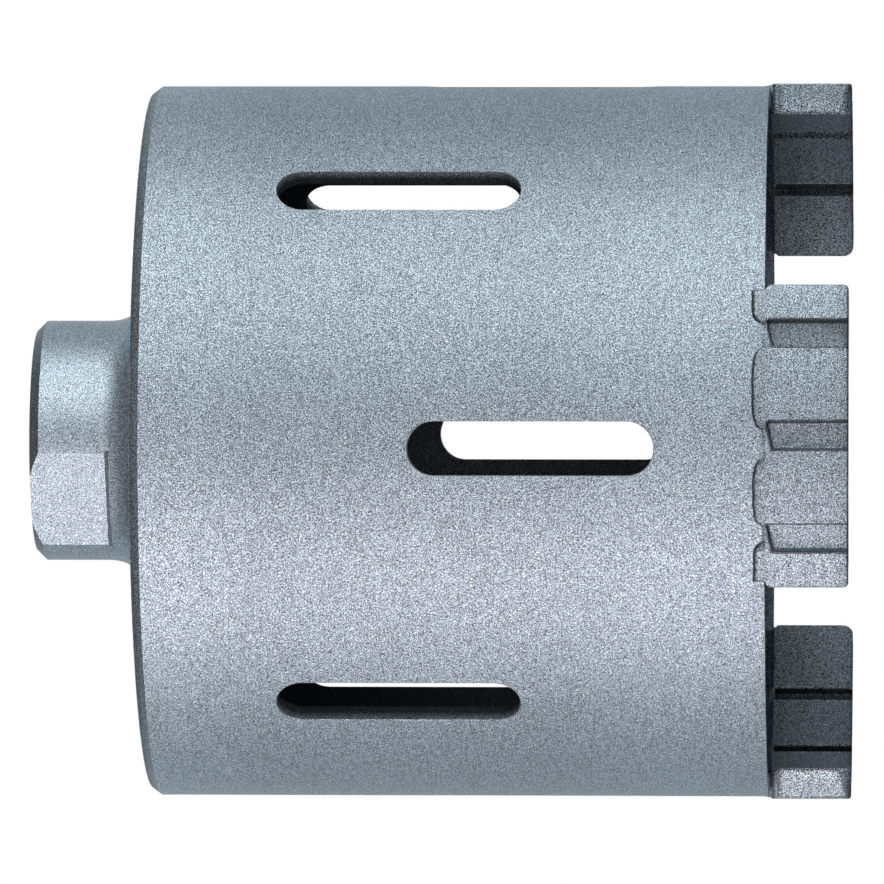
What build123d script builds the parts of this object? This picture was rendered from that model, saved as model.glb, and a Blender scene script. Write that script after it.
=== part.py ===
from build123d import *
import math
import os

# Diamond core bit, in millimetres. It stands on its three segments at z = 0, hub up, with its axis on Z.
# Angles are in degrees about the axis, from -Y towards +X.

# Barrel
barrel_wall = 2.0
barrel_length = 69.7
corner_chamfer_height = 1.05
corner_chamfer_depth = 0.8

# Dust slots, in two staggered rows
slot_length = 27.0
slot_width = 5.95
slots_per_row = 4
lower_row_above_rim = 25.6
row_spacing = 15.0
slot_edge_break = 0.1

# End plate and hub, turned as one
plate_thickness = 5.0
plate_seat_depth = 0.75
plate_edge_break = 0.25
hub_diameter = 27.15
hub_length = 13.25
hub_fillet = 5.0
hub_chamfer = 1.1
across_flats = 24.2
flat_length = 9.0
flat_angle = -31.9
thread_diameter = 16.0
thread_mouth_chamfer = 1.0

# Cutting segments
drill_diameter = 82.0
segment_proud_of_barrel = 0.85
segment_thickness = 3.6
segment_height = 9.1
segment_span = 48.0
segment_angles = [2.1, 122.3, 239.8]
segment_corner_radius = 0.7
segment_edge_chamfer = 0.25
outer_groove_width = 3.1
outer_groove_depth = 1.0
outer_groove_pitch = 15.95
outer_groove_count = 3
inner_groove_width = 2.2
inner_groove_depth = 0.9
inner_groove_pitch = 18.6
inner_groove_count = 2
inner_groove_shifts = [0.0, -1.2, 1.8]
groove_end_gap = 0.05
groove_end_slant = 0.7

# Brazed joint
braze_gap = 0.12
braze_crest = 1.4
braze_crest_inset = 0.25
braze_recess = 0.35
braze_edge_thickness = 0.12
braze_shoulder_height = 0.45
braze_shoulder_depth = 0.22
braze_below_surface = 0.05
braze_inner_climb = 0.8
braze_overhang = 0.5

# Places worked out from the sizes above
tolerance = 0.001
segment_outer_radius = drill_diameter / 2
segment_inner_radius = segment_outer_radius - segment_thickness
barrel_radius = segment_outer_radius - segment_proud_of_barrel
barrel_inner_radius = barrel_radius - barrel_wall
rim_height = segment_height + braze_gap
face_height = rim_height + barrel_length
plate_height = face_height - plate_thickness
plate_radius = barrel_inner_radius + plate_seat_depth
hub_end_height = face_height + hub_length
hub_radius = hub_diameter / 2
thread_radius = thread_diameter / 2
lower_row_height = rim_height + lower_row_above_rim
upper_row_height = lower_row_height + row_spacing
slot_pitch = 360 / slots_per_row
outer_grooves = [(i - (outer_groove_count - 1) / 2) * outer_groove_pitch for i in range(outer_groove_count)]
inner_grooves = [(i - (inner_groove_count - 1) / 2) * inner_groove_pitch for i in range(inner_groove_count)]


def radial_plane(angle, height):
    """The plane square to the radius at an angle, with its x tangential and its y along the axis."""
    turn = math.radians(angle)
    outward = (math.sin(turn), -math.cos(turn), 0)
    tangent = (math.cos(turn), math.sin(turn), 0)
    return Plane(origin=(0, 0, height), x_dir=tangent, z_dir=outward)


def ring_sector(profile, angle, span):
    """A closed outline of radius and height points, turned through a span that is centred on an angle."""
    outline = make_face(Polyline(*[(radius, 0, height) for radius, height in profile], close=True))
    turned = revolve(outline, Axis.Z, span)
    return Rot(0, 0, angle - 90 - span / 2) * turned


def dust_slots():
    """The cutters of both rows, each milled in along its radius."""
    slots = []
    for row, height in enumerate((lower_row_height, upper_row_height)):
        for i in range(slots_per_row):
            plane = radial_plane((i + row / 2) * slot_pitch, height)
            outline = plane.offset(barrel_inner_radius / 2) * SlotOverall(slot_length, slot_width, rotation=90)
            slots.append(extrude(outline, barrel_radius))
    return slots


def barrel():
    outer, inner = barrel_radius, barrel_inner_radius
    profile = [
        (inner, rim_height),
        (outer, rim_height),
        (outer, face_height - corner_chamfer_height),
        (outer - corner_chamfer_depth, face_height),
        (plate_radius, face_height),
        (plate_radius, plate_height),
        (inner, plate_height),
    ]
    section = make_face(Polyline(*[(radius, 0, height) for radius, height in profile], close=True))
    tube = revolve(section, Axis.Z) - dust_slots()
    outside = tube.faces().filter_by(GeomType.CYLINDER).sort_by(lambda face: face.area)[-1]
    slot_mouths = [edge for wire in outside.inner_wires() for edge in wire.edges()]
    return chamfer(slot_mouths, slot_edge_break)


def hub_plate():
    fillet_start = face_height + hub_fillet
    edge = plate_edge_break
    with BuildPart() as piece:
        with BuildSketch(Plane.XZ):
            with BuildLine():
                Polyline(
                    (thread_radius, plate_height),
                    (plate_radius, plate_height),
                    (plate_radius, face_height - edge),
                    (plate_radius - edge, face_height),
                    (hub_radius + hub_fillet, face_height),
                )
                RadiusArc(
                    (hub_radius + hub_fillet, face_height),
                    (hub_radius, fillet_start),
                    hub_fillet,
                )
                Polyline(
                    (hub_radius, fillet_start),
                    (hub_radius, hub_end_height - hub_chamfer),
                    (hub_radius - hub_chamfer, hub_end_height),
                    (thread_radius, hub_end_height),
                    (thread_radius, plate_height),
                )
            make_face()
        revolve(axis=Axis.Z)
        circles = piece.edges().filter_by(GeomType.CIRCLE)
        chamfer(circles.filter_by(lambda circle: circle.radius == thread_radius), thread_mouth_chamfer)
    return piece.part - wrench_flats()


def wrench_flats():
    """The two blocks milled away beside the hub, down to a square ledge."""
    cutters = []
    for side in (0, 180):
        plane = radial_plane(flat_angle + side, hub_end_height - flat_length / 2)
        outline = plane.offset(across_flats / 2) * Rectangle(hub_diameter, flat_length)
        cutters.append(extrude(outline, hub_radius))
    return cutters


def groove_cutters(angles, floor_radius, width, depth):
    """Axial grooves, open at the tips, whose ends slant up to just below the top of the segment."""
    high = segment_height - groove_end_gap
    low = high - groove_end_slant
    side = width / 2
    outline = make_face(Polyline((-side, 0), (side, 0), (side, high), (-side, low), close=True))
    return [extrude(radial_plane(angle, 0).offset(floor_radius) * outline, depth) for angle in angles]


def segment_blank(angle):
    outer, inner = segment_outer_radius, segment_inner_radius
    section = [(inner, 0), (outer, 0), (outer, segment_height), (inner, segment_height)]
    blank = ring_sector(section, angle, segment_span)
    tip_corners = blank.edges().filter_by(GeomType.LINE).filter_by(lambda edge: edge.center().Z < tolerance)
    blank = fillet(tip_corners, segment_corner_radius)
    walls = blank.faces().filter_by(GeomType.CYLINDER).sort_by(lambda face: face.area)[-2:]
    free_edges = walls.edges().filter_by(lambda edge: edge.center().Z < segment_height - tolerance)
    return chamfer(free_edges, segment_edge_chamfer)


def segment(angle, inner_shift):
    """One segment, grooved outside and, between those grooves, inside."""
    outside = [angle + turn for turn in outer_grooves]
    inside = [angle + inner_shift + turn for turn in inner_grooves]
    outer_floor = segment_outer_radius - outer_groove_depth
    inner_floor = segment_inner_radius + inner_groove_depth
    cutters = groove_cutters(outside, outer_floor, outer_groove_width, 2 * outer_groove_depth)
    cutters += groove_cutters(inside, inner_floor, inner_groove_width, -2 * inner_groove_depth)
    return segment_blank(angle) - cutters


def scalloped_edge():
    """The upper edge of the braze: a lobe over each land, a dip over each groove, the rim at both ends."""
    half_groove = math.degrees(outer_groove_width / 2 / segment_outer_radius)
    reach = segment_span / 2 + math.degrees(braze_overhang / barrel_radius)
    starts = [-segment_span / 2] + [groove + half_groove for groove in outer_grooves]
    ends = [groove - half_groove for groove in outer_grooves] + [segment_span / 2]
    knots = [(-reach, 0)]
    for start, end, groove in zip(starts, ends, outer_grooves + [None]):
        inset = (end - start) * braze_crest_inset
        knots += [(start + inset, braze_crest), (end - inset, braze_crest)]
        if groove is not None:
            knots.append((groove, braze_recess))
    knots.append((reach, 0))
    return [(barrel_radius * math.sin(math.radians(angle)), height) for angle, height in knots]


def braze(angle):
    """The film between segment and rim, with its fillets up the barrel outside and inside."""
    crest = rim_height + braze_crest
    outer = segment_outer_radius - braze_below_surface
    inner = segment_inner_radius + braze_below_surface
    profile = [
        (outer, segment_height),
        (inner, segment_height),
        (barrel_inner_radius - braze_edge_thickness, rim_height + braze_inner_climb),
        (barrel_inner_radius, rim_height + braze_inner_climb),
        (barrel_inner_radius, rim_height),
        (barrel_radius, rim_height),
        (barrel_radius, crest),
        (barrel_radius + braze_edge_thickness, crest),
        (outer - braze_shoulder_depth, rim_height + braze_shoulder_height),
    ]
    span = segment_span + 2 * math.degrees(braze_overhang / barrel_radius)
    sector = ring_sector(profile, angle, span)
    knots = scalloped_edge()
    scallops = Spline(*knots)
    left, right = knots[0][0], knots[-1][0]
    below = Polyline(knots[-1], (right, -2 * braze_crest), (left, -2 * braze_crest), knots[0])
    outline = radial_plane(angle, rim_height).offset(barrel_radius / 2) * make_face([scallops, below])
    return sector & extrude(outline, barrel_radius)


def main():
    pieces = {"barrel": barrel(), "hub_plate": hub_plate()}
    for i, (angle, inner_shift) in enumerate(zip(segment_angles, inner_groove_shifts)):
        pieces[f"segment_{i + 1}"] = segment(angle, inner_shift)
        pieces[f"braze_{i + 1}"] = braze(angle)
    os.makedirs("parts", exist_ok=True)
    for name, piece in pieces.items():
        export_step(piece, f"parts/{name}.step")
        print(name, round(piece.volume, 1), piece.is_valid)


main()
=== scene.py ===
import math

import bmesh
import bpy
from mathutils import Matrix, Vector, noise


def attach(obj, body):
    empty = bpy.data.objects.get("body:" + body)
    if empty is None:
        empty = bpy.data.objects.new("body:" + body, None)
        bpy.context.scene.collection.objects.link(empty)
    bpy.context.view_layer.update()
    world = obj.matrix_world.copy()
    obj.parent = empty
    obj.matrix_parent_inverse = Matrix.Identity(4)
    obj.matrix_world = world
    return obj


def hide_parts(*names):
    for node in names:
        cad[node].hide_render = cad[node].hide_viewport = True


# Diamond core bit, dressed over its CAD frame. Metres, axis on Z, tips on the floor at z = 0.
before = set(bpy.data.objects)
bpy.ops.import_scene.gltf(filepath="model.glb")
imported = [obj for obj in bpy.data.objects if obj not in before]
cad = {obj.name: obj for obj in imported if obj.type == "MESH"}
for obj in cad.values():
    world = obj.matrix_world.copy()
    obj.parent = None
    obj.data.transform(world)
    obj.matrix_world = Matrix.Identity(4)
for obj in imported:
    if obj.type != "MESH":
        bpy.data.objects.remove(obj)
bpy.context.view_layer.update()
print("frame loaded:", len(cad), "nodes")


# Small helpers

def addNode(tree, kind, inputs=None, **settings):  # inputs take plain values or another node's socket
    node = tree.nodes.new(kind)
    for key, value in settings.items():
        setattr(node, key, value)
    for key, value in (inputs or {}).items():
        if isinstance(value, bpy.types.NodeSocket):
            tree.links.new(value, node.inputs[key])
        else:
            node.inputs[key].default_value = value
    return node


def maths(tree, operation, *values):
    return addNode(tree, "ShaderNodeMath", dict(enumerate(values)), operation=operation).outputs[0]


def vectorMaths(tree, operation, result, inputs):  # result is the output's name or number
    return addNode(tree, "ShaderNodeVectorMath", inputs, operation=operation).outputs[result]


def mapRange(tree, value, span, ends=(0.0, 1.0), **settings):
    inputs = {"Value": value, "From Min": span[0], "From Max": span[1], "To Min": ends[0], "To Max": ends[1]}
    return addNode(tree, "ShaderNodeMapRange", inputs, **settings).outputs[0]


def noiseTexture(tree, place, scale, detail):
    inputs = {"Vector": place, "Scale": scale, "Detail": detail}
    return addNode(tree, "ShaderNodeTexNoise", inputs).outputs["Fac"]


def colourRamp(tree, value, stops):
    node = addNode(tree, "ShaderNodeValToRGB", {"Fac": value})
    ramp = node.color_ramp
    while len(ramp.elements) < len(stops):
        ramp.elements.new(0.5)
    for element, (place, colour) in zip(ramp.elements, stops):
        element.position = place
        element.color = (*colour, 1)
    return node.outputs["Color"]


def mixColour(tree, share, first, second):
    return addNode(tree, "ShaderNodeMix", {"Factor": share, 6: first, 7: second}, data_type="RGBA").outputs[2]


def shaded(tree, colour, share):
    return vectorMaths(tree, "SCALE", 0, {0: colour, "Scale": share})


def shadedWhere(tree, colour, where, gain):  # where is 1 on the part that takes the gain, and 0 elsewhere
    return shaded(tree, colour, maths(tree, "MULTIPLY_ADD", where, gain - 1, 1.0))


def objectPosition(tree):
    return addNode(tree, "ShaderNodeTexCoord").outputs["Object"]


def radiusFromAxis(tree, position):
    flat = vectorMaths(tree, "MULTIPLY", 0, {0: position, 1: (1, 1, 0)})
    return vectorMaths(tree, "LENGTH", "Value", {0: flat})


def heightOf(tree, position):
    return addNode(tree, "ShaderNodeSeparateXYZ", {0: position}).outputs["Z"]


def newMaterial(name):
    material = bpy.data.materials.new(name)
    material.use_nodes = True
    return material, material.node_tree, material.node_tree.nodes["Principled BSDF"]


def clamped(value):  # to between 0 and 1
    return min(max(value, 0), 1)


# The lacquer of every piece: a fine metallic grain, with turning marks round the axis

lacquer = {
    "dark": (0.02, 0.025, 0.03),
    "dim": (0.178, 0.231, 0.268),
    "light": (0.585, 0.735, 0.84),
    "stops": (0.15, 0.5, 0.85),  # where those three lie in the grain
    "grazing": (0.72, 0.77, 0.81),
    "roughness": 0.5,
    "metallic": 0.92,
    "grainSize": 0.000108,
    "grainTilt": (0.5, 0.7, 0.9),  # radians, so that no face lies along the noise's cells
    "contrast": 0.62,
    "cloud": (2.0, -1.27),  # strength, shift
    "flakes": 0.35,
    "flakesPerGrain": 2,
    "streaks": 0.2,
    "streakScale": (200, 200, 5200),
    "streakDetail": 2.0,
    "bumpDistance": 0.000029,
}


def startLacquer(name, roughness=lacquer["roughness"]):  # all but its colour
    material, tree, shader = newMaterial(name)
    position = objectPosition(tree)
    size = lacquer["grainSize"]
    turning = {"Vector": position, "Rotation": lacquer["grainTilt"]}
    tilted = addNode(tree, "ShaderNodeMapping", turning).outputs[0]
    stretching = {"Vector": position, "Scale": lacquer["streakScale"]}
    around = addNode(tree, "ShaderNodeMapping", stretching).outputs[0]
    scattering = {"Vector": tilted, "Scale": lacquer["flakesPerGrain"] / size}
    flakes = addNode(tree, "ShaderNodeTexVoronoi", scattering).outputs["Color"]
    flake = addNode(tree, "ShaderNodeSeparateColor", {"Color": flakes}).outputs
    cloud = noiseTexture(tree, tilted, 1 / size, 0.0)
    streaks = noiseTexture(tree, around, 1.0, lacquer["streakDetail"])
    grain = maths(tree, "MULTIPLY_ADD", cloud, *lacquer["cloud"])
    grain = maths(tree, "MULTIPLY_ADD", flake["Red"], lacquer["flakes"], grain)
    grain = maths(tree, "MULTIPLY_ADD", streaks, lacquer["streaks"], grain)
    relief = maths(tree, "ADD", flake["Green"], cloud)
    bumping = {"Height": relief, "Distance": lacquer["bumpDistance"], "Strength": 1.0}
    bump = addNode(tree, "ShaderNodeBump", bumping).outputs[0]
    tree.links.new(bump, shader.inputs["Normal"])
    shader.inputs["Metallic"].default_value = lacquer["metallic"]
    shader.inputs["Roughness"].default_value = roughness
    shader.inputs["Specular Tint"].default_value = (*lacquer["grazing"], 1)
    return material, tree, shader, position, grain


def grainColour(tree, grain, contrast, gain=1.0):  # contrast is a number or a socket
    value = maths(tree, "MULTIPLY_ADD", grain, contrast, 0.5)
    tints = [lacquer["dark"], lacquer["dim"], lacquer["light"]]
    stops = [(place, [gain * part for part in tint]) for place, tint in zip(lacquer["stops"], tints)]
    return colourRamp(tree, value, stops)


# Barrel

barrel = {
    "radius": 0.04015,
    "bore": 0.03815,
    "skin": (0.0012, 0.0003),  # depths at which the outer coat ends and is full, and the bore's painted shade begins
    "rimSprayAndLight": (0.0098, 0.0125),  # heights between which the coat and the light inside the rim fade into the bore's painted shade
    # painted shade that darkens the bore inside the barrel
    "boreShade": 0.22,
    "heightGainTop": 0.08,
    "heightGain": ((0.012, 1.12), (0.0185, 1.10), (0.034, 0.97), (0.0645, 0.91), (0.0732, 1.0)),  # brighter and darker along the height: height, gain
    "paintedEdgeHighlight": (0.0789, 0.00006, 2.6),  # a painted highlight on the edge at the plate: middle height, half its height, gain
    # painted shade on the chamfer: middle height, half its height, gain
    "chamfer": (0.0784, 0.0005, 0.75),
}


def barrelLacquer():
    material, tree, shader, position, grain = startLacquer("barrelLacquer")
    colour = grainColour(tree, grain, lacquer["contrast"])
    height = heightOf(tree, position)
    skin = [barrel["radius"] - depth for depth in barrel["skin"]]
    outside = mapRange(tree, radiusFromAxis(tree, position), skin)
    atRim = mapRange(tree, height, barrel["rimSprayAndLight"], (1.0, 0.0))
    coatedAndLit = maths(tree, "MAXIMUM", outside, atRim)
    # painted shade in the bore, except near the rim and on the outside
    colour = mixColour(tree, coatedAndLit, shaded(tree, colour, barrel["boreShade"]), colour)
    # brighter and darker bands along the height
    top = barrel["heightGainTop"]
    stops = [(place / top, (gain, gain, gain)) for place, gain in barrel["heightGain"]]
    heightGain = colourRamp(tree, maths(tree, "DIVIDE", height, top), stops)
    colour = vectorMaths(tree, "MULTIPLY", 0, {0: colour, 1: heightGain})
    # a painted highlight on the edge at the plate, and painted shade on the chamfer
    for middle, half, gain in (barrel["paintedEdgeHighlight"], barrel["chamfer"]):
        colour = shadedWhere(tree, colour, maths(tree, "COMPARE", height, middle, half), gain)
    tree.links.new(colour, shader.inputs["Base Color"])
    return material


# Hub and end plate

hub = {
    "gain": 1.06,
    "contrast": 0.72,
    "roughness": 0.38,
    "flatTurn": -31.9,
    "flatReach": (0.0121, 0.00008),  # from the axis to a wrench flat, and how near that counts as on it
    "ledge": (0.0834, 0.00026, 0.22),  # painted shade in the corner of a flat: middle height, half its height, shade
    # painted shade on the chamfer: middle height, half its height, shade
    "chamfer": (0.09162, 0.0005, 0.55),
}


def hubLacquer():
    material, tree, shader, position, grain = startLacquer("hubLacquer", hub["roughness"])
    colour = grainColour(tree, grain, lacquer["contrast"] * hub["contrast"], hub["gain"])
    height = heightOf(tree, position)
    turn = math.radians(hub["flatTurn"])
    outward = (math.sin(turn), -math.cos(turn), 0)
    reach = vectorMaths(tree, "DOT_PRODUCT", "Value", {0: position, 1: outward})
    onFlat = maths(tree, "COMPARE", maths(tree, "ABSOLUTE", reach), *hub["flatReach"])
    middle, half, shade = hub["ledge"]  # painted shade in the corner of a flat
    corner = maths(tree, "MULTIPLY", onFlat, maths(tree, "COMPARE", height, middle, half))
    colour = shadedWhere(tree, colour, corner, shade)
    middle, half, shade = hub["chamfer"]  # painted shade on the chamfer, which the flats cut away
    offFlat = maths(tree, "SUBTRACT", 1.0, onFlat)
    edge = maths(tree, "MULTIPLY", maths(tree, "COMPARE", height, middle, half), offFlat)
    colour = shadedWhere(tree, colour, edge, shade)
    tree.links.new(colour, shader.inputs["Base Color"])
    return material


# Coat of the segments and their braze, coarser within the core than outside

segmentCoat = {
    "contrast": 1.12,
    "coreContrast": 2.2,
    "coreEdge": (0.0385, 0.0392),  # radii between which the coarser coat fades
}


def segmentLacquer(name):  # a mesh with this finish carries its shade at each point
    material, tree, shader, position, grain = startLacquer(name)
    plain = lacquer["contrast"] * segmentCoat["contrast"]
    ends = (segmentCoat["coreContrast"] * plain, plain)
    contrast = mapRange(tree, radiusFromAxis(tree, position), segmentCoat["coreEdge"], ends)
    colour = grainColour(tree, grain, contrast)
    shade = addNode(tree, "ShaderNodeAttribute", attribute_name="shade").outputs["Fac"]
    tree.links.new(shaded(tree, colour, shade), shader.inputs["Base Color"])
    return material


barrelFinish = barrelLacquer()
hubFinish = hubLacquer()
segmentFinish = segmentLacquer("segmentLacquer")
brazeFinish = segmentLacquer("brazeLacquer")
finishes = {
    "barrel": (barrelFinish, "lacquered_steel"),
    "hub_plate": (hubFinish, "lacquered_steel"),
    "segment": (segmentFinish, "diamond_segment"),
    "braze": (brazeFinish, "braze"),
}
for nodeName, piece in cad.items():
    kind = nodeName if nodeName in finishes else nodeName.rsplit("_", 1)[0]
    finish, slotName = finishes[kind]
    piece.data.materials.clear()
    piece.data.materials.append(finish)
print("finishes on:", len(cad), "nodes")


# Lofted pieces: sections of radius, height and shade, set round the axis

weldDistance = 1e-7
tolerance = 1e-9


def ringPoint(angle, radius, height):  # angles run in degrees from -Y towards +X
    turn = math.radians(angle)
    return (radius * math.sin(turn), -radius * math.cos(turn), height)


def finishMesh(mesh, finish, sharpAngle):
    work = bmesh.new()
    work.from_mesh(mesh)
    bmesh.ops.remove_doubles(work, verts=work.verts, dist=weldDistance)
    bmesh.ops.recalc_face_normals(work, faces=work.faces)
    if work.calc_volume(signed=True) < 0:
        bmesh.ops.reverse_faces(work, faces=work.faces)
    work.to_mesh(mesh)
    work.free()
    mesh.shade_smooth()
    mesh.set_sharp_from_angle(angle=math.radians(sharpAngle))
    mesh.materials.clear()
    mesh.materials.append(finish)


def addPiece(name, mesh, replaced=()):
    piece = bpy.data.objects.new(name, mesh)
    bpy.context.scene.collection.objects.link(piece)
    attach(piece, "root")
    if replaced:
        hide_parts(*replaced)


def loftMesh(name, stations, finish, sharpAngle):  # a station is its angle and its section
    points = []
    shades = []
    for angle, section in stations:
        for radius, height, shade in section:
            points.append(ringPoint(angle, radius, height))
            shades.append(shade)
    around = len(stations[0][1])
    last = (len(stations) - 1) * around
    faces = []
    for start in range(0, last, around):
        for j in range(around):
            k = (j + 1) % around
            faces.append((start + j, start + k, start + around + k, start + around + j))
    faces.append(tuple(range(around)))
    faces.append(tuple(range(last + around - 1, last - 1, -1)))
    mesh = bpy.data.meshes.new(name)
    mesh.from_pydata(points, [], faces)
    mesh.attributes.new("shade", "FLOAT", "POINT").data.foreach_set("value", shades)
    finishMesh(mesh, finish, sharpAngle)
    return mesh


def rounded(radius, distance):  # how far a rounded edge has fallen at a distance from its end
    if distance >= radius:
        return 0.0
    return radius - math.sqrt(max(radius ** 2 - (radius - distance) ** 2, 0))


def along(table, place):  # straight interpolation in a table of pairs
    if place <= table[0][0]:
        return table[0][1]
    for (x0, y0), (x1, y1) in zip(table, table[1:]):
        if place <= x1:
            return y0 + (y1 - y0) * (place - x0) / (x1 - x0)
    return table[-1][1]


# Cutting segments

segment = {
    "angles": (2.1, 122.3, 239.8),
    "innerShifts": (0.0, -1.2, 1.8),  # degrees by which each one's inner grooves are off
    "span": 48.0,
    "outerRadius": 0.041,
    "innerRadius": 0.0374,
    "height": 0.0091,
    "tipCorners": {"outer": 0.0006, "inner": 0.0013},
    "rimCorner": 0.0008,
    "edge": 0.00025,
    "edgeTurns": (0, 0.5, 1.0, 1.57),  # radians round the edge at the tip
    "levels": (0.0015, 0.0032, 0.005, 0.0068),  # heights of the points between the two edges
    "rimEdge": (0.00906, 0.00012),  # height where it starts, and how far it stands back at the top
    "outerGrooves": (-15.95, 0.0, 15.95),
    "outerWidth": 0.0031,
    "outerDepth": 0.0010,
    "innerGrooves": (-9.3, 9.3),
    "innerWidth": 0.0022,
    "innerDepth": 0.0009,
    "grooveTop": 0.00905,
    "grooveSlants": {"outer": 0.0007, "inner": 0.0001},
    "grooveEdge": (  # mm in from the groove's side, share of its depth
        (-0.21, 0), (-0.18, 0.002), (-0.01, 0.004), (0.05, 0.35), (0.17, 0.9), (0.23, 0.97), (0.32, 1.0)),
    "endSteps": (0, 0.03, 0.08, 0.15, 0.25, 0.4, 0.55, 0.7),  # mm in from an end face
    "spacing": 0.001,
    "leastSpacing": 0.00001,
    "sharpAngle": 35,
    "shadePlaces": {  # shares of a groove's depth: the lip from and to, the wall from and to, the floor
        "outer": (0.002, 0.004, 0.3, 0.85, 0.97), "inner": (0.002, 0.004, 0.1, 0.9, 0.97)},
    "tipShade": (0.5, 0.0002),  # and how far up it reaches
    "lipShade": 0.33,
    "wallShades": (0.28, 0.62),  # the upper wall as photographed, the lower one
    "floorShades": (1.0, 0.86, 0.62),
    "coreShade": 0.98,
    "coreLipShade": 1.35,
    "coreWallShades": (0.1, 0.8),  # at the groove's first and last side, by angle
    "coreFloorShades": (0.5, 0.06),
    "endShades": (1.0, 0.95, 1.3),
    "endMarginShade": 0.45,
    "endInside": (0.93, 0.9),  # share of an end face's thickness and height that lies inside its margin
    "endPull": {"outer": 0.042, "inner": 0.14},  # how far the corners of the inside are drawn in
    "endDrop": 0.00022,
    "endRings": (0, 0.05),
}


def grooveAngles(side, shift):
    return [groove + (shift if side == "inner" else 0) for groove in segment[side + "Grooves"]]


def grooveAt(angle, height, shift, side):  # share of its depth here, share of its width, and its end's height
    width = segment[side + "Width"]
    nearest = min(grooveAngles(side, shift), key=lambda groove: abs(angle - groove))
    offset = math.radians(angle - nearest) * segment[side + "Radius"]
    across = clamped(offset / width + 0.5)
    end = segment["grooveTop"] - segment["grooveSlants"][side] * (1 - across)
    inside = min(width / 2 - abs(offset), end - height)
    return along(segment["grooveEdge"], inside * 1000), across, end


def sideLevels(low, high, grooveEnd):  # heights up a side of the section, and how far each stands back
    edge = segment["edge"]
    start, setBack = segment["rimEdge"]
    top = segment["height"] - high
    levels = [(low + edge * (1 - math.cos(t)), edge * (1 - math.sin(t))) for t in segment["edgeTurns"]]
    levels += [(height, 0) for height in segment["levels"]]
    levels += [(min(grooveEnd - mm / 1000, start - high), 0) for mm, _ in reversed(segment["grooveEdge"])]
    levels += [(start - high, 0), (top, setBack)]
    return [(min(height, top), back) for height, back in levels]


def grooveShade(side, share, land, lip, wall, floor):
    places = (0, *segment["shadePlaces"][side])
    return along(list(zip(places, (land, lip, lip, wall, wall, floor))), share)


def outerShade(angle, share, across):
    nearest = min(range(3), key=lambda k: abs(angle - segment["outerGrooves"][k]))
    wall = segment["wallShades"][0 if across > 0.5 else 1]
    return grooveShade("outer", share, 1, segment["lipShade"], wall, segment["floorShades"][nearest])


def innerShade(share, across):
    wall = segment["coreWallShades"][1 if across > 0.5 else 0]
    first, last = segment["coreFloorShades"]
    floor = first + (last - first) * across
    return grooveShade("inner", share, segment["coreShade"], segment["coreLipShade"], wall, floor)


def segmentSide(angle, distance, shift, side):
    inward = -1 if side == "outer" else 1
    inset = rounded(segment["edge"], distance)
    low = rounded(segment["tipCorners"][side], distance)
    high = rounded(segment["rimCorner"], distance)
    grooveEnd = grooveAt(angle, 0, shift, side)[2]
    tip, tipReach = segment["tipShade"]
    points = []
    for height, back in sideLevels(low, high, grooveEnd):
        share, across, _ = grooveAt(angle, height, shift, side)
        depth = segment[side + "Depth"] * share + inset + back
        shade = innerShade(share, across) if side == "inner" else outerShade(angle, share, across)
        if side == "outer" and height < low + tipReach:
            shade *= tip
        points.append((segment[side + "Radius"] + inward * depth, height, shade))
    return points


def segmentSection(angle, distance, shift):  # distance to the nearer end face
    outside = segmentSide(angle, distance, shift, "outer")
    inside = segmentSide(angle, distance, shift, "inner")
    return outside + inside[::-1]


def endFace(station, endShade):  # the sections that close an end, with painted shade at its margin
    angle, section = station
    wide, high = segment["endInside"]
    middleRadius = (segment["outerRadius"] + segment["innerRadius"]) / 2
    middleHeight = segment["height"] / 2
    sections = [(angle, [(radius, height, segment["endMarginShade"]) for radius, height, _ in section])]
    for step in segment["endRings"]:
        ring = []
        for radius, height, _ in section:
            across = (radius - middleRadius) / (segment["outerRadius"] - middleRadius)
            up = (height - middleHeight) / middleHeight
            pull = segment["endPull"]["inner" if across < 0 else "outer"]
            share = 1 - step - pull * abs(across * up) ** 4
            place = middleRadius + (radius - middleRadius) * share * wide
            level = middleHeight - segment["endDrop"] + (height - middleHeight) * share * high
            ring.append((place, level, endShade))
        sections.append((angle, ring))
    return sections


def segmentAngles(shift):  # close together at the ends and at the groove edges
    outer = segment["outerRadius"]
    reach = math.radians(segment["span"] / 2) * outer
    places = [-reach + mm / 1000 for mm in segment["endSteps"]]
    places += [-place for place in places]
    steps = int(2 * reach / segment["spacing"])
    places += [-reach + segment["spacing"] * step for step in range(1, steps)]
    for side in ("outer", "inner"):
        for groove in grooveAngles(side, shift):
            middle = math.radians(groove) * outer
            for mm, _ in segment["grooveEdge"]:
                offset = (segment[side + "Width"] / 2 - mm / 1000) * outer / segment[side + "Radius"]
                places += [middle - offset, middle + offset]
    places = sorted(place for place in places if abs(place) <= reach + tolerance)
    kept = [places[0]]
    for place in places[1:]:
        if place - kept[-1] > segment["leastSpacing"]:
            kept.append(place)
    return [(math.degrees(place / outer), reach - abs(place)) for place in kept]


for i, turn in enumerate(segment["angles"]):
    shift = segment["innerShifts"][i]
    endShade = segment["endShades"][i]
    angles = segmentAngles(shift)
    stations = [(turn + angle, segmentSection(angle, distance, shift)) for angle, distance in angles]
    stations = endFace(stations[0], endShade)[::-1] + stations[1:-1] + endFace(stations[-1], endShade)
    name = f"segment_{i + 1}_grooved"
    mesh = loftMesh(name, stations, segmentFinish, segment["sharpAngle"])
    addPiece(name, mesh, [f"segment_{i + 1}"])
print("segments lofted:", len(segment["angles"]))


# Brazed joint, from a segment's top up the barrel, outside and inside

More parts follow.
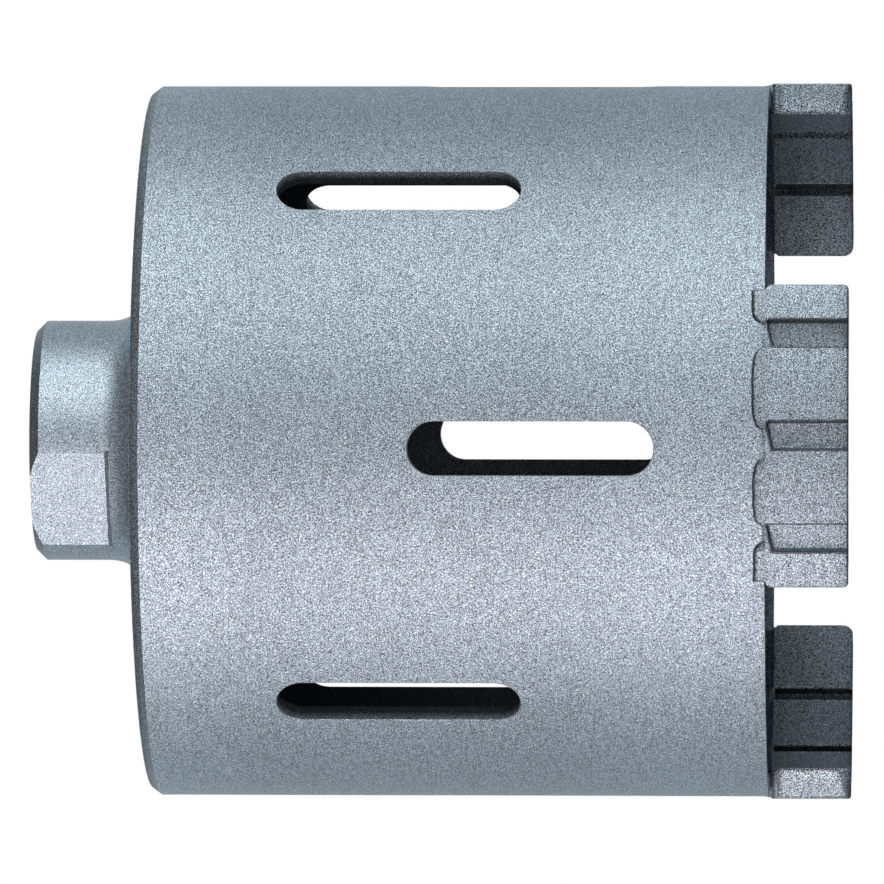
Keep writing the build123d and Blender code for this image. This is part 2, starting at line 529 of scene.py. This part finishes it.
braze = {
    "rim": 0.00922,
    "lobes": (  # one over each land: first angle, last angle, mm above the rim
        (-25.6, -16.9, 1.25), (-14.3, -3.7, 1.3), (1.0, 13.9, 1.42), (17.9, 25.0, 1.45)),
    "dip": 0.22,
    "waviness": 0.00011,
    "waves": (  # strength, waves in a degree, step for each seed, shift
        (1.0, 0.45, 3.7, 0.0), (0.5, 1.3, 1.0, 5.0), (0.35, 4.1, 1.7, 9.0)),
    "crease": (  # where the braze has drawn back from the barrel: mm down, mm out, shade
        (0.01, -0.02, 0.08), (0.07, 0.08, 0.08), (0.14, 0.3, 0.12),
        (0.2, 0.45, 0.45), (0.27, 0.54, 0.9), (0.35, 0.6, 1.0)),
    "creaseRise": (0.00015, 0.0005),  # the crest's height where it starts, and the rise until it is full
    "root": (0.0003, 0.00005, 0.06),  # in from the barrel's skin, down from the crest, shade
    "faceProud": 0.00002,
    "faceSteps": 7,
    "foot": (0.0088, 0.0003),  # height over a land, and how much higher it is over a groove
    "lumps": (0.00005, 0.9, 4, 9.1),  # height, lumps in a degree, lumps up the face, step for each seed
    "tuck": (0.0004, 0.00002, 0.6),  # in from the face, down from its foot, shade
    "film": (0.0392, 0.0091, 0.6),  # radius, height, shade
    "innerEdge": (  # out from the segment's inner radius, height, shade
        (0.0003, 0.0090, 0.4), (0.0002, 0.0090, 0.5), (0.00035, 0.00915, 0.8)),
    "innerSlope": ((-0.00045, 0.0094, 0.9), (-0.0002, 0.0097, 0.8)),  # out from the bore, height, shade
    "innerEnd": ((-0.00004, 0.0, 0.5), (0.0004, -0.0001, 0.5)),  # out from the bore, up from the climb, shade
    "innerClimb": (0.0008, 0.00015),  # above the rim, and how uneven
    "innerWave": (0.5, 2.0, 1.9),  # waves in a degree, shift, step for each seed
    "sag": (0.00012, 0.6),  # depth down an inner groove, and the share of it at the shoulder
    "tab": -0.0004,  # how far it runs past the segment's end faces, and here it stops short of them
    "fade": 0.0004,  # it sinks away over this length at both ends
    "paintedEndShade": (0.0003, 0.65),  # painted shade towards both ends of a joint: length, share
    "seed": 7,
    "steps": 240,
    "sharpAngle": 60,
}


def crestAt(angle, seed):
    height = braze["dip"]
    for start, end, top in braze["lobes"]:
        across = 2 * (angle - start) / (end - start) - 1
        if abs(across) < 1:
            height += (top - braze["dip"]) * (1 - across ** 4) ** 0.5
    wave = 0
    for strength, rate, seedStep, shift in braze["waves"]:
        wave += strength * noise.noise(Vector((angle * rate, seed * seedStep, shift)))
    return braze["rim"] + height / 1000 + wave * braze["waviness"]


def brazeOutside(angle, fade, seed, groove):  # groove is the share of the outer groove's depth here
    crest = crestAt(angle, seed)
    skin = barrel["radius"]
    face = segment["outerRadius"] + braze["faceProud"]
    start, growth = braze["creaseRise"]
    lobe = clamped((crest - braze["rim"] - start) / growth)
    inward, down, shade = braze["root"]
    section = [(skin - inward, crest - down, shade)]
    for drop, out, shade in braze["crease"]:
        section.append((skin + out / 1000 * fade * lobe, crest - drop / 1000, 1 - (1 - shade) * lobe))
    drop, out, _ = braze["crease"][-1]
    top = crest - drop / 1000
    shoulder = skin + out / 1000 * fade * lobe
    foot, lift = braze["foot"]
    foot += lift * groove
    tall, rate, climb, seedStep = braze["lumps"]
    for step in range(1, braze["faceSteps"] + 1):
        share = step / braze["faceSteps"]
        lump = noise.noise(Vector((angle * rate, share * climb, seed * seedStep)))
        lump *= tall * math.sin(math.pi * share)
        section.append((shoulder + (face - shoulder) * share * fade + lump, top - (top - foot) * share, 1))
    inward, down, shade = braze["tuck"]
    section.append((face - inward, foot - down, shade))
    return section


def brazeInside(angle, fade, seed, groove):  # groove is the share of the inner groove's depth here
    inner = segment["innerRadius"]
    bore = barrel["bore"]
    rise, uneven = braze["innerClimb"]
    rate, shift, seedStep = braze["innerWave"]
    climb = braze["rim"] + rise + uneven * noise.noise(Vector((angle * rate, shift, seed * seedStep)))
    depth, shoulderShare = braze["sag"]
    sag = depth * groove * fade
    edge, low, shoulder = braze["innerEdge"]
    section = [
        braze["film"],
        (inner + edge[0], edge[1], edge[2]),
        (inner + low[0], low[1] - sag, low[2]),
        (inner + shoulder[0] * groove, shoulder[1] - sag * shoulderShare, shoulder[2]),
    ]
    section += [(bore + out * fade, height, shade) for out, height, shade in braze["innerSlope"]]
    section += [(bore + out, climb + up, shade) for out, up, shade in braze["innerEnd"]]
    return section


def brazeSection(angle, distance, seed, shift):  # distance to the nearer end
    fade = clamped(distance / braze["fade"]) ** 0.5
    section = brazeOutside(angle, fade, seed, grooveAt(angle, 0, shift, "outer")[0])
    section += brazeInside(angle, fade, seed, grooveAt(angle, 0, shift, "inner")[0])
    # painted shade towards the joint's ends
    length, endDarkening = braze["paintedEndShade"]
    bright = 1 - endDarkening * (1 - min(distance / length, 1))
    return [(radius, height, shade * bright) for radius, height, shade in section]


for i, turn in enumerate(segment["angles"]):
    shift = segment["innerShifts"][i]
    reach = segment["span"] / 2 + math.degrees(braze["tab"] / segment["outerRadius"])
    stations = []
    for step in range(braze["steps"] + 1):
        angle = reach * (2 * step / braze["steps"] - 1)
        distance = math.radians(reach - abs(angle)) * segment["outerRadius"]
        stations.append((turn + angle, brazeSection(angle, distance, braze["seed"] + i, shift)))
    name = f"braze_{i + 1}_fillet"
    mesh = loftMesh(name, stations, brazeFinish, braze["sharpAngle"])
    addPiece(name, mesh, [f"braze_{i + 1}"])
print("braze fillets lofted:", len(segment["angles"]))


# Arbor thread, ridges standing in from the bore

thread = {
    "boreRadius": 0.008,
    "ridge": 0.00108,
    "pitch": 0.002,
    "rootWidth": 0.00175,
    "crestWidth": 0.00025,
    "bottom": 0.0759,
    "top": 0.0902,
    "stepsPerTurn": 72,
    "profileTurn": 90.0,
    "profileSide": 0.45,  # share of the ridge by which its profile stands off the helix
    "sharpAngle": 30,
}


def newTree(name, numbers):  # a geometry tree whose inputs are these numbers, given as name and value
    tree = bpy.data.node_groups.new(name, "GeometryNodeTree")
    tree.interface.new_socket("Geometry", in_out="INPUT", socket_type="NodeSocketGeometry")
    for label, value in numbers.items():
        kind = "NodeSocketInt" if isinstance(value, int) else "NodeSocketFloat"
        tree.interface.new_socket(label, in_out="INPUT", socket_type=kind)
    tree.interface.new_socket("Geometry", in_out="OUTPUT", socket_type="NodeSocketGeometry")
    return tree, tree.nodes.new("NodeGroupInput").outputs, tree.nodes.new("NodeGroupOutput")


def endTree(tree, geometry, output, finish):
    real = addNode(tree, "GeometryNodeRealizeInstances", {"Geometry": geometry})
    paint = addNode(tree, "GeometryNodeSetMaterial", {"Geometry": real.outputs[0], "Material": finish})
    tree.links.new(paint.outputs[0], output.inputs[0])


def runTree(name, tree, numbers):  # the tree's result as a plain mesh
    holder = bpy.data.objects.new(name + "_maker", bpy.data.meshes.new(name + "_maker"))
    bpy.context.scene.collection.objects.link(holder)
    modifier = holder.modifiers.new("maker", "NODES")
    modifier.node_group = tree
    for item in tree.interface.items_tree:
        if item.in_out == "INPUT" and item.name in numbers:
            modifier[item.identifier] = numbers[item.name]
    graph = bpy.context.evaluated_depsgraph_get()
    mesh = bpy.data.meshes.new_from_object(holder.evaluated_get(graph))
    mesh.name = name
    bpy.data.objects.remove(holder)
    return mesh


def threadTree():
    numbers = {
        "Radius": thread["boreRadius"],
        "Ridge": thread["ridge"],
        "Length": thread["top"] - thread["bottom"],
        "Pitch": thread["pitch"],
        "Root Width": thread["rootWidth"],
        "Crest Width": thread["crestWidth"],
        "Bottom": thread["bottom"],
        "Steps": thread["stepsPerTurn"],
    }
    tree, given, output = newTree("threadRidges", numbers)
    helix = addNode(tree, "GeometryNodeCurveSpiral", {
        "Resolution": given["Steps"],
        "Rotations": maths(tree, "DIVIDE", given["Length"], given["Pitch"]),
        "Start Radius": given["Radius"],
        "End Radius": given["Radius"],
        "Height": given["Length"],
    })
    upright = addNode(tree, "GeometryNodeSetCurveNormal", {"Curve": helix.outputs[0]}, mode="Z_UP")
    profile = addNode(tree, "GeometryNodeCurvePrimitiveQuadrilateral", {
        "Bottom Width": given["Root Width"],
        "Top Width": given["Crest Width"],
        "Height": given["Ridge"],
        "Offset": 0.0,
    }, mode="TRAPEZOID")
    inward = maths(tree, "MULTIPLY", given["Ridge"], thread["profileSide"])
    turned = addNode(tree, "GeometryNodeTransform", {
        "Geometry": profile.outputs[0],
        "Translation": addNode(tree, "ShaderNodeCombineXYZ", {"X": inward}).outputs[0],
        "Rotation": (0, 0, math.radians(thread["profileTurn"])),
    })
    swept = addNode(tree, "GeometryNodeCurveToMesh", {
        "Curve": upright.outputs[0],
        "Profile Curve": turned.outputs[0],
        "Fill Caps": True,
    })
    placed = addNode(tree, "GeometryNodeTransform", {
        "Geometry": swept.outputs[0],
        "Translation": addNode(tree, "ShaderNodeCombineXYZ", {"Z": given["Bottom"]}).outputs[0],
    })
    endTree(tree, placed.outputs[0], output, hubFinish)
    return tree, numbers


threadMesh = runTree("arbor_thread_ridges", *threadTree())
finishMesh(threadMesh, hubFinish, thread["sharpAngle"])
addPiece("arbor_thread_ridges", threadMesh)
print("thread cut:", len(threadMesh.polygons), "faces")


# Studio

studio = {
    "middle": (0, 0, 0.046),
    "stripDistance": 0.7,
    "upperStrip": (54, (0.87, 0.38), 7.0, (1.0, 0.93, 0.90)),  # turn in degrees, size, power, colour
    "lowerStrip": (-40.5, (0.76, 0.38), 8.7, (1.0, 0.82, 0.80)),
    "topLight": ((0.05, 0.1, 0.9), (0.5, 0.5), 0.03),  # place, size, power
    "worldLevel": 0.66,
    "flag": (0, -0.34, 0.94),  # a black card hangs above, on the camera's side
    "flagSpan": (0.25, 0.75),
    "flagLevel": 0.01,
    "floorRadius": 0.9,
    "floorSides": 96,
    "floorFade": (0.2, 0.8),
    "floorColour": (0.80, 0.84, 0.86),
    "floorRoughness": 0.9,
    "floorWhite": 0.55,
}


def areaLight(name, place, size, power, colour=(1, 1, 1)):
    data = bpy.data.lights.new(name, "AREA")
    data.shape = "RECTANGLE"
    data.size, data.size_y = size
    data.energy = power
    data.color = colour
    lamp = bpy.data.objects.new(name, data)
    back = Vector(place) - Vector(studio["middle"])
    lamp.matrix_world = Matrix.Translation(place) @ back.to_track_quat("Z", "Y").to_matrix().to_4x4()
    bpy.context.scene.collection.objects.link(lamp)


def stripLight(name):
    turn, size, power, colour = studio[name]
    place = ringPoint(turn, studio["stripDistance"], studio["middle"][2])
    areaLight(name, place, size, power, colour)


def studioWorld():  # white where it is seen, and dimmer as a light
    world = bpy.data.worlds.new("studio")
    world.use_nodes = True
    bpy.context.scene.world = world
    tree = world.node_tree
    direction = addNode(tree, "ShaderNodeTexCoord").outputs["Generated"]
    towardFlag = vectorMaths(tree, "DOT_PRODUCT", "Value", {0: direction, 1: studio["flag"]})
    rays = addNode(tree, "ShaderNodeLightPath").outputs
    besideFlag = mapRange(tree, rays["Is Glossy Ray"], (0.0, 1.0), (studio["worldLevel"], 1.0))
    ends = (besideFlag, studio["flagLevel"])
    level = mapRange(tree, towardFlag, studio["flagSpan"], ends, interpolation_type="SMOOTHSTEP")
    seen = maths(tree, "MAXIMUM", rays["Is Camera Ray"], rays["Is Transmission Ray"])
    background = tree.nodes["Background"]
    background.inputs["Color"].default_value = (1, 1, 1, 1)
    tree.links.new(maths(tree, "MAXIMUM", level, seen), background.inputs["Strength"])


def paleFloor():  # fades out to the white world, and is clear from below, where the camera stands
    material, tree, shader = newMaterial("paleFloor")
    shader.inputs["Base Color"].default_value = (*studio["floorColour"], 1)
    shader.inputs["Roughness"].default_value = studio["floorRoughness"]
    radius = radiusFromAxis(tree, objectPosition(tree))
    faded = mapRange(tree, radius, studio["floorFade"], interpolation_type="SMOOTHSTEP")
    below = addNode(tree, "ShaderNodeNewGeometry").outputs["Backfacing"]
    clear = maths(tree, "MAXIMUM", faded, below)
    cameraRay = addNode(tree, "ShaderNodeLightPath").outputs["Is Camera Ray"]
    whitened = maths(tree, "MULTIPLY", cameraRay, studio["floorWhite"])
    white = addNode(tree, "ShaderNodeEmission").outputs[0]
    nothing = addNode(tree, "ShaderNodeBsdfTransparent").outputs[0]
    pale = addNode(tree, "ShaderNodeMixShader", {0: whitened, 1: shader.outputs[0], 2: white}).outputs[0]
    mix = addNode(tree, "ShaderNodeMixShader", {0: clear, 1: pale, 2: nothing}).outputs[0]
    tree.links.new(mix, tree.nodes["Material Output"].inputs["Surface"])
    return material


stripLight("upperStrip")
stripLight("lowerStrip")
areaLight("topLight", *studio["topLight"])
studioWorld()
bpy.ops.mesh.primitive_circle_add(
    vertices=studio["floorSides"], radius=studio["floorRadius"], fill_type="NGON")
floor = bpy.context.object
floor.name = "floor"
floor.data.materials.append(paleFloor())
print("studio lit")


# Camera

shot = {
    "distance": 1.187,
    "turn": 1.2,  # degrees round the axis, towards +X
    "height": -0.0091,
    "aim": (-0.00013, 0, 0.04633),
    "roll": 0.08,
    "lens": 427.1,
    "sensor": 36.0,
    "clipStart": 0.05,
}


def placeCamera():  # the picture's right is down, because the bit lies on its side in the photograph
    place = Vector(ringPoint(shot["turn"], shot["distance"], shot["height"]))
    back = (place - Vector(shot["aim"])).normalized()
    down = Vector((0, 0, -1))
    level = (down - back * down.dot(back)).normalized()
    square = back.cross(level)
    roll = math.radians(shot["roll"])
    right = level * math.cos(roll) + square * math.sin(roll)
    up = square * math.cos(roll) - level * math.sin(roll)
    data = bpy.data.cameras.new("camera")
    data.lens = shot["lens"]
    data.sensor_width = shot["sensor"]
    data.clip_start = shot["clipStart"]
    camera = bpy.data.objects.new("camera", data)
    camera.matrix_world = Matrix.Translation(place) @ Matrix((right, up, back)).transposed().to_4x4()
    bpy.context.scene.collection.objects.link(camera)
    bpy.context.scene.camera = camera


placeCamera()
bpy.context.scene.view_settings.view_transform = "Standard"
print("camera set")
